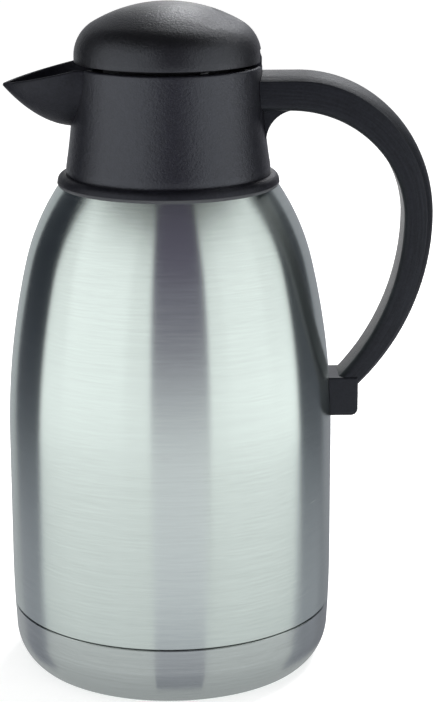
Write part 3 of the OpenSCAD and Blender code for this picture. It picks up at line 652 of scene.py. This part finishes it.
def handle_rings(h, c, lug_top):
    """Sections of the handle along its arm, the bend at the top and the sweep down to the lug."""
    sink, under_end, top_end = 0.004, 0.006, 0.009
    narrowing, thinning, below_lug = 0.0006, 0.002, 0.005
    bend, sweep = 48, 36
    root = c.rim_r - sink
    rings = [handle_section(h, (root, h.under), (root, h.top), h.half_w),
             handle_section(h, (c.rim_r + under_end, h.under), (c.rim_r + top_end, h.top), h.half_w)]
    for i in range(bend + 1):
        a = math.radians(90 * i / bend)
        out, up = math.sin(a), math.cos(a)
        inner = (h.bend_in + (h.inside - h.bend_in) * out, h.mid_z + (h.under - h.mid_z) * up)
        outer = (h.bend_out + (h.reach - h.bend_out) * out, h.mid_z + (h.top - h.mid_z) * up)
        rings.append(handle_section(h, inner, outer, h.half_w - narrowing * i / bend))
    full = math.asin((h.mid_z - lug_top + below_lug) / h.sweep_r)
    inner_r = h.sweep_r - thinning
    for i in range(1, sweep + 1):
        a = full * i / sweep
        inner = (h.inside - inner_r * (1 - math.cos(a)), h.mid_z - inner_r * math.sin(a))
        outer = (h.reach - h.sweep_r * (1 - math.cos(a)), h.mid_z - h.sweep_r * math.sin(a))
        rings.append(handle_section(h, inner, outer, h.half_w - narrowing - narrowing * i / sweep))
    return rings


def build_lug(h, b, lug_top):
    """The block that ties the handle's foot to the body."""
    sink, foot_r, top_r = 0.006, 0.003, 0.0008
    low, back = h.lug_z - h.lug_h / 2, b.radius - sink
    outline = [(back, low)] + arc((h.lug_reach - foot_r, low + foot_r), foot_r, -90, 0, 10)
    outline += arc((h.lug_reach - top_r, lug_top - top_r), top_r, 0, 90, 4) + [(back, lug_top)]
    lug = slab("lug", outline, -h.lug_half, h.lug_half)
    bevel(lug, 0.0009)
    return lug


def build_gusset(h, c):
    """The web in the corner under the arm."""
    sink, overlap, start, radius, half = 0.004, 0.003, 0.0015, 0.013, 0.0065
    root, middle = c.rim_r - sink, c.rim_r + start + radius
    outline = [(root, h.under + overlap), (root, h.under - radius)]
    outline += arc((middle, h.under - radius), radius, 180, 92, 14) + [(middle, h.under + overlap)]
    return slab("gusset", outline, -half, half)


def build_handle(h, b, c):
    """The handle with its lug and web, cut to the collar and the body, and bored for the lug's screw."""
    lug_top = h.lug_z + h.lug_h / 2
    rings = handle_rings(h, c, lug_top)
    handle = loft("handle_loop", rings)
    grain_along(handle, rings)
    carve(handle, build_lug(h, b, lug_top), "UNION")
    carve(handle, build_gusset(h, c), "UNION")
    gap, cut_foot, cut_top = 0.0001, 0.2135, 0.267
    against = [(0, cut_foot), (collar_radius(c, c.flare_z) + gap, cut_foot)]
    against += [(collar_radius(c, z) + gap, z) for z in
                (c.flare_z + (c.rim_z - c.flare_z) * i / 12 for i in range(13))]
    carve(handle, lathe("against_collar", against + [(c.rim_r + gap, cut_top), (0, cut_top)]))
    zs = [b.seam + (shoulder(b) - b.seam) * i / 60 for i in range(61)]
    against = [(0, b.seam)] + [(shell_radius(b, z) + gap, z) for z in zs] + [(0, shoulder(b))]
    carve(handle, lathe("against_body", against))
    bore_r, start, end = 0.0044, 0.0776, 0.09
    recess = turned("recess", [(0, start), (bore_r, start), (bore_r, end), (0, end)], "X")
    carve(handle, shift(recess, 0, h.lug_z))
    handle.name = "handle_grip"
    return clean(handle, 34)


def dome_outline(d, inset, steps):
    """Half of the dome's section: a wide arc over the top and a tight one down to the edge."""
    top_c = d.edge_z + d.rise - d.top_r
    side_c = d.radius - d.side_r
    span = d.top_r - d.side_r
    side_z = top_c + math.sqrt(span ** 2 - side_c ** 2)
    lean = math.degrees(math.asin(side_c / span))
    points = arc((0, top_c), d.top_r - inset, 90, 90 - lean, steps)
    points += arc((side_c, side_z), d.side_r - inset, 90 - lean, 0, steps)[1:]
    return points


def press_scoop(dome, d):
    """Presses the thumb scoop into the top of the dome, at the handle's side."""
    lean, least_rise = math.radians(24), 0.010
    reach = d.top_r + d.scoop_r - d.scoop_depth
    centre = Vector((math.sin(lean) * reach, 0, d.edge_z + d.rise - d.top_r + math.cos(lean) * reach))
    for v in dome.data.vertices:
        away = v.co - centre
        if away.length < d.scoop_r and v.co.z > d.edge_z + least_rise:
            side = math.hypot(away.x, away.y)
            v.co.z = centre.z - math.sqrt(d.scoop_r ** 2 - side ** 2)


def build_dome(d):
    """The dome as a turned cover, with its scoop and the notch for the hinge."""
    lip, ease = 0.0005, 0.00015
    outline = dome_outline(d, 0, 56)
    outline += [(d.radius, d.edge_z + lip), (d.radius - ease, d.edge_z + ease), (d.radius - lip, d.edge_z)]
    outline += [(d.radius - d.wall, d.edge_z)] + dome_outline(d, d.wall, 20)[::-1]
    dome = lathe("dome", outline, FINE)
    press_scoop(dome, d)
    play, side_play, below = 0.00045, 0.0006, 0.001
    over, behind = 0.0034, 0.009
    gap, foot = d.knuckle_r + play, d.edge_z - below
    back, roof = d.hinge_x + behind, d.hinge_z + over
    notch = [(d.hinge_x - gap, foot)] + arc((d.hinge_x, d.hinge_z), gap, 180, 90, 14)
    notch += [(d.hinge_x, roof), (back, roof), (back, foot)]
    half = d.hinge_w / 2 + side_play
    carve(dome, slab("notch", notch, -half, half))
    dome.name = "dome_lid"
    return clean(dome, 40)


# Materials

def scaled(shade, factor):
    return tuple(min(1, factor * v) for v in shade)


def brushed_steel(name, shade, dark):
    """Steel with fine lines around the axis, some of them deeper, and faint clouding."""
    m = Shader(name)
    fine = m.noise((90, 90, 3600), 3.0, 0.75)
    long = m.noise((22, 22, 1200), 2.0, 0.6)
    cloud = m.noise((14, 14, 9), 3.0, 0.5)
    lines = fine * 0.65 + long * 0.35
    tone = m.mix(m.ramp(lines, (0.32, 0.0), (0.68, 1.0)), scaled(shade, dark), shade)
    tone = m.mix(m.ramp(cloud, (0.35, 0.10), (0.70, 0.0)), tone, (0.50, 0.55, 0.56))
    rough = 0.19 + 0.09 * lines + 0.03 * cloud
    return m.finish(Base_Color=tone, Metallic=1.0, Roughness=rough, Normal=m.bump(lines, 0.06, 0.00007),
                    Anisotropic=0.95, Anisotropic_Rotation=0.25)


def plain_steel(name, shade):
    """Satin steel of the pieces inside."""
    m = Shader(name)
    grain = m.noise((900, 900, 900), 3.0, 0.6)
    tone = m.mix(m.ramp(grain, (0.3, 0.0), (0.7, 1.0)), scaled(shade, 0.85), shade)
    return m.finish(Base_Color=tone, Metallic=1.0, Roughness=0.28 + 0.14 * grain)


def matt_plastic(name, shade, light, rough, gloss=0.4, streak=None):
    """Moulded black plastic with a fine eroded grain, and streaks along the piece if they are given."""
    m = Shader(name)
    grain = m.noise((1100, 1100, 1100), 3.0, 0.65)
    coarse = m.noise((380, 380, 380), 2.0, 0.5)
    height = grain * 0.65 + coarse * 0.35
    if streak:
        height = height * 0.5 + m.noise(streak, 3.0, 0.6, "UV") * 0.5
    tone = m.mix(m.ramp(height, (0.38, 0.0), (0.64, 1.0)), shade, light)
    return m.finish(Base_Color=tone, Roughness=rough + 0.2 * (1 - height), Specular_IOR_Level=gloss,
                    Specular_Tint=(0.85, 0.90, 1.0), Normal=m.bump(height, 0.7, 0.0004))


def soft_rubber(name, shade):
    """Soft rubber of the seals and the gasket."""
    m = Shader(name)
    grain = m.noise((1200, 1200, 1200), 2.0, 0.5)
    tone = m.mix(grain, scaled(shade, 0.8), scaled(shade, 1.2))
    return m.finish(Base_Color=tone, Roughness=0.72 + 0.1 * grain, Normal=m.bump(grain, 0.2, 0.0001))


def foam_white(name):
    """White foam with open cells."""
    m = Shader(name)
    cells = m.node("ShaderNodeTexVoronoi", {"feature": "F1"}, {
        "Vector": m.place((700, 700, 700)), "Scale": 1.0})
    return m.finish(Base_Color=m.mix(cells, (0.82, 0.82, 0.77), (0.93, 0.93, 0.89)), Roughness=0.9,
                    Normal=m.bump(cells, 0.4, 0.0003))


def finish_node(name, material):
    """Gives a solid that stays in view its finish."""
    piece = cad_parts[name]
    piece.data.materials.clear()
    piece.data.materials.append(material)


# Operators

class CARAFE_OT_body(bpy.types.Operator):
    """Build the steel shell and the base"""
    bl_idname = "carafe.body"
    bl_label = "Steel body"

    def execute(self, context):
        scene = context.scene
        looks = scene.carafe_finishes
        show(build_shell(scene.carafe_body), brushed_steel("steel_body", looks.steel, 0.86),
             "carafe", ["outer_shell", "shell_shoulder", "neck_tube"])
        # The base's steel is a darker copy of the body's: painted shade low on the carafe.
        show(build_base(scene.carafe_body), brushed_steel("steel_base_painted_shade", looks.base_steel, 0.84),
             "carafe", ["base_cap"])
        return {"FINISHED"}


class CARAFE_OT_collar(bpy.types.Operator):
    """Build the collar with its roll, rim, spout and hinge ears"""
    bl_idname = "carafe.collar"
    bl_label = "Collar and spout"

    def execute(self, context):
        scene = context.scene
        sizes = scene.carafe_collar
        shade = tuple(scene.carafe_finishes.collar)
        light = scaled(shade, 2.6)
        collar = build_collar(sizes, scene.carafe_body, scene.carafe_lid)
        show(collar, matt_plastic("black_collar", shade, light, 0.24, 0.78), "carafe", ["collar"])
        collar.data.materials.append(matt_plastic("black_spout_and_roll", shade, light, 0.34, 0.34))
        dull_faces(collar, sizes)
        return {"FINISHED"}


class CARAFE_OT_handle(bpy.types.Operator):
    """Build the handle with its arm, web, grip and lug"""
    bl_idname = "carafe.handle"
    bl_label = "Handle"

    def execute(self, context):
        scene = context.scene
        shade = tuple(scene.carafe_finishes.handle)
        show(build_handle(scene.carafe_handle, scene.carafe_body, scene.carafe_collar),
             matt_plastic("black_handle", shade, scaled(shade, 3.4), 0.30, 0.34, (45, 1100, 1)),
             "carafe", ["handle"])
        return {"FINISHED"}


class CARAFE_OT_dome(bpy.types.Operator):
    """Build the domed lid with its thumb scoop"""
    bl_idname = "carafe.dome"
    bl_label = "Dome"

    def execute(self, context):
        scene = context.scene
        shade = tuple(scene.carafe_finishes.dome)
        show(build_dome(scene.carafe_lid),
             matt_plastic("black_dome", shade, scaled(shade, 2.6), 0.24, 0.66),
             "lid", ["dome_cover"])
        return {"FINISHED"}


class CARAFE_OT_small_parts(bpy.types.Operator):
    """Finish the seals, screws, hinge pin, stopper and inner bottle"""
    bl_idname = "carafe.small_parts"
    bl_label = "Inner parts"

    def execute(self, context):
        looks = context.scene.carafe_finishes
        inner_steel = plain_steel("steel_inner", (0.70, 0.72, 0.73))
        dark_steel = plain_steel("steel_dark", (0.42, 0.44, 0.45))
        inner_black = matt_plastic("black_inner", (0.022, 0.022, 0.024), (0.034, 0.034, 0.037), 0.5)
        cap_black = matt_plastic("black_cap", (0.018, 0.018, 0.021), (0.030, 0.030, 0.034), 0.46)
        seal = soft_rubber("rubber_seal", (0.05, 0.05, 0.052))
        gasket = soft_rubber("rubber_gasket", tuple(looks.gasket))
        finishes = {
            inner_steel: ["inner_bottle", "inner_shoulder", "bottle_neck", "inner_bottom", "vacuum_bottom"],
            dark_steel: ["vent_seal", "getter", "handle_top_screws", "handle_bracket", "lug_screw",
                         "hinge_pin", "lid_screws"],
            inner_black: ["neck_ring", "pour_insert", "lid_plate", "stopper"],
            cap_black: ["lug_cap"],
            seal: ["mouth_seal", "stopper_seal"],
            gasket: ["collar_gasket"],
            foam_white("foam_core"): ["lid_foam"],
        }
        for material, names in finishes.items():
            for name in names:
                finish_node(name, material)
        return {"FINISHED"}


# Studio

def lamp(name, size, power, place, aim_z):
    """A rectangular lamp that is turned towards a height on the carafe's axis."""
    data = bpy.data.lights.new(name, "AREA")
    data.shape = "RECTANGLE"
    data.size, data.size_y = size
    data.energy = power
    light = bpy.data.objects.new(name, data)
    light.location = place
    light.rotation_euler = (Vector((0, 0, aim_z)) - Vector(place)).to_track_quat("-Z", "Y").to_euler()
    bpy.context.collection.objects.link(light)


def around(azimuth, distance, height):
    """A place around the carafe, by its azimuth from the viewer in degrees, to the right."""
    a = math.radians(azimuth)
    return (distance * math.sin(a), -distance * math.cos(a), height)


def mirrored(turn, distance, height):
    """A place that the body's side mirrors to the camera, where the side faces an angle from the viewer."""
    radius, viewer = 0.07, 0.9
    a = math.radians(turn)
    x, y = radius * math.sin(a), radius * math.cos(a)
    away = 2 * a + math.atan2(x, viewer - y)
    return (x + distance * math.sin(away), -y - distance * math.cos(away), height)


def card_mesh(name, where, spans, profile):
    """The card's surface, from a span of angles at its foot to another one at its top."""
    steps, rows = 32, len(profile)
    points, faces = [], []
    for i in range(steps + 1):
        foot, top = (low + (high - low) * i / steps for low, high in spans)
        points += [where(foot + (top - foot) * k / (rows - 1), *place) for k, place in enumerate(profile)]
    for first in range(0, rows * steps, rows):
        faces += [(first + k, first + rows + k, first + rows + k + 1, first + k + 1)
                  for k in range(rows - 1)]
    return solid(name, points, faces)


def card(name, where, spans, profile, *painted_reflection_stops):
    """A bent card that glows and that only reflections see: a painted reflection, not a lamp. Its span of
    angles and its glowing colours change from foot to top.
    """
    piece = card_mesh(name, where, spans, profile)
    runs = [0.0]
    for a, b in zip(profile, profile[1:]):
        runs.append(runs[-1] + math.dist(a, b))
    layer = piece.data.uv_layers.new(name="run")
    for loop in piece.data.loops:
        layer.data[loop.index].uv = (0, runs[loop.vertex_index % len(profile)] / runs[-1])
    m = Shader(name)
    run = m.node("ShaderNodeSeparateXYZ", {}, {"Vector": m.node("ShaderNodeTexCoord", output="UV")}, "Y")
    # The glow is the painted reflection's colour, ramped from foot to top.
    glow = m.node("ShaderNodeEmission", {}, {"Color": m.ramp(run, *painted_reflection_stops), "Strength": 1.0})
    piece.data.materials.append(m.surface(glow))
    piece.visible_camera = False
    piece.visible_diffuse = False
    piece.visible_shadow = False


def build_floor_and_world(scene):
    """A pale floor that keeps the shadow, and a world that is white to the camera and to mirrors."""
    half, plain = 9, 0.55
    corners = [(-half, -half, 0), (half, -half, 0), (half, half, 0), (-half, half, 0)]
    floor = solid("floor", corners, [(0, 1, 2, 3)])
    m = Shader("pale_floor")
    matt = m.node("ShaderNodeBsdfDiffuse", {}, {"Color": tuple(scene.carafe_finishes.floor)})
    glow = m.node("ShaderNodeEmission", {}, {"Color": (1, 1, 1), "Strength": plain * m.seen()})
    floor.data.materials.append(m.surface(m.node("ShaderNodeAddShader", {}, {0: matt, 1: glow})))
    m = Shader("studio", "worlds")
    back = m.node("ShaderNodeBackground", {}, {
        "Color": (1, 1, 1), "Strength": plain + (1 - plain) * m.seen()})
    scene.world = m.surface(back, "ShaderNodeOutputWorld")


def build_lamps():
    lamp("left_softbox", (1.2, 1.2), 0.8, around(-56, 1.2, 0.62), 0.2)
    lamp("right_softbox", (0.8, 1.2), 0.34, around(58, 1.2, 0.62), 0.2)
    lamp("back_softbox", (0.8, 0.45), 16.5, around(151, 0.88, 1.03), 0.28)


def build_cards():
    """The glowing cards that the steel mirrors, which paint its reflections: the middle band, the dark
    edges, the rims, the shadow around the foot and the dark top.
    """
    bend = ((0.001, 0.001), (0.10, 0.001), (0.24, 0.001), (0.32, 0.03), (0.36, 0.12), (0.38, 0.30),
            (0.42, 0.95))
    # Painted reflection of the middle band: pale near the floor, dark and purple higher up.
    card("front_card", mirrored, ((-6.2, 11.4), (-6.8, 14.3)), bend, (0.0, (0.30, 0.30, 0.34)),
         (0.08, (0.70, 0.69, 0.74)), (0.20, (0.95, 0.94, 0.97)), (0.27, (1.0, 0.98, 1.0)),
         (0.33, (0.52, 0.50, 0.56)), (0.375, (0.12, 0.10, 0.15)), (1.0, (0.08, 0.065, 0.10)))
    # Painted reflections of the dark bands near the body's edges.
    edges = ((0.0, (0.28, 0.28, 0.32)), (0.06, (0.36, 0.36, 0.40)), (0.17, (0.34, 0.34, 0.38)),
             (0.22, (0.17, 0.175, 0.20)), (0.28, (0.08, 0.083, 0.10)), (0.36, (0.03, 0.033, 0.042)),
             (1.0, (0.02, 0.022, 0.03)))
    card("left_card", mirrored, ((-66, -51), (-72, -50)), bend, *edges)
    card("right_card", mirrored, ((47.8, 64), (51, 70)), bend, *edges)
    # Painted reflections of the paler rims at the body's sides.
    card("left_rim", mirrored, ((-88, -66), (-88, -72)), bend, (0.0, (0.48, 0.48, 0.50)),
         (0.27, (0.46, 0.47, 0.49)), (0.45, (0.44, 0.45, 0.47)), (1.0, (0.06, 0.06, 0.07)))
    card("right_rim", mirrored, ((64, 88), (70, 88)), bend, (0.0, (0.25, 0.25, 0.28)),
         (0.45, (0.34, 0.34, 0.37)), (1.0, (0.06, 0.06, 0.07)))
    whole = ((0, 360), (0, 360))
    # Painted reflection of the shadow on the floor around the foot, darker near the body.
    card("painted_foot_shadow_card", around, whole, ((0.062, 0.0005), (0.13, 0.0005), (0.45, 0.0005)),
         (0.0, (0.50, 0.50, 0.51)), (0.18, (0.72, 0.72, 0.73)), (1.0, (0.84, 0.84, 0.84)))
    # A dark glowing sheet overhead that paints dark reflections on the tops.
    card("ceiling_card", around, whole, ((0.02, 1.25), (1.1, 1.15)),
         (0.0, (0.03, 0.03, 0.03)), (1.0, (0.03, 0.03, 0.03)))


def build_camera(scene):
    """A long lens that looks down on the carafe, with its turns in degrees."""
    view = bpy.data.cameras.new("camera")
    view.lens = 110.608
    view.sensor_width = 36
    view.sensor_fit = "AUTO"
    place = (0, -0.9039, 0.3771)
    yaw, pitch, roll = (math.radians(v) for v in (1.37547, 14.90286, -0.13018))
    ahead = Vector((math.sin(yaw) * math.cos(pitch), math.cos(yaw) * math.cos(pitch), -math.sin(pitch)))
    right = Vector((math.cos(yaw), -math.sin(yaw), 0))
    up = right.cross(ahead)
    side = right * math.cos(roll) + up * math.sin(roll)
    rise = up * math.cos(roll) - right * math.sin(roll)
    turn = Matrix((side, rise, -ahead)).transposed()
    eye = bpy.data.objects.new("camera", view)
    eye.matrix_world = Matrix.Translation(place) @ turn.to_4x4()
    bpy.context.collection.objects.link(eye)
    scene.camera = eye


class CARAFE_OT_studio(bpy.types.Operator):
    """Build the floor, the background, the lamps, the glowing cards that paint reflections, and the camera
    """
    bl_idname = "carafe.studio"
    bl_label = "Studio"

    def execute(self, context):
        scene = context.scene
        build_floor_and_world(scene)
        build_lamps()
        build_cards()
        build_camera(scene)
        scene.view_settings.view_transform = "Standard"
        return {"FINISHED"}


class CARAFE_PT_panel(bpy.types.Panel):
    bl_label = "Vacuum carafe"
    bl_idname = "CARAFE_PT_panel"
    bl_space_type = "VIEW_3D"
    bl_region_type = "UI"
    bl_category = "Carafe"

    def draw(self, context):
        for operator in OPERATORS:
            self.layout.operator(operator.bl_idname)
        for name in GROUPS:
            group = getattr(context.scene, name)
            box = self.layout.box()
            for key in group.bl_rna.properties.keys():
                if key not in {"rna_type", "name"}:
                    box.prop(group, key)


OPERATORS = (CARAFE_OT_body, CARAFE_OT_collar, CARAFE_OT_handle, CARAFE_OT_dome, CARAFE_OT_small_parts,
             CARAFE_OT_studio)
GROUPS = {"carafe_body": BodySizes, "carafe_collar": CollarSizes, "carafe_handle": HandleSizes,
          "carafe_lid": LidSizes, "carafe_finishes": Finishes}


def register():
    for name, group in GROUPS.items():
        bpy.utils.register_class(group)
        setattr(bpy.types.Scene, name, bpy.props.PointerProperty(type=group))
    for operator in OPERATORS:
        bpy.utils.register_class(operator)
    bpy.utils.register_class(CARAFE_PT_panel)


def unregister():
    bpy.utils.unregister_class(CARAFE_PT_panel)
    for operator in reversed(OPERATORS):
        bpy.utils.unregister_class(operator)
    for name, group in reversed(GROUPS.items()):
        delattr(bpy.types.Scene, name)
        bpy.utils.unregister_class(group)


def main():
    register()
    bpy.ops.carafe.body()
    bpy.ops.carafe.collar()
    bpy.ops.carafe.handle()
    bpy.ops.carafe.dome()
    bpy.ops.carafe.small_parts()
    bpy.ops.carafe.studio()


if __name__ == "__main__":
    main()
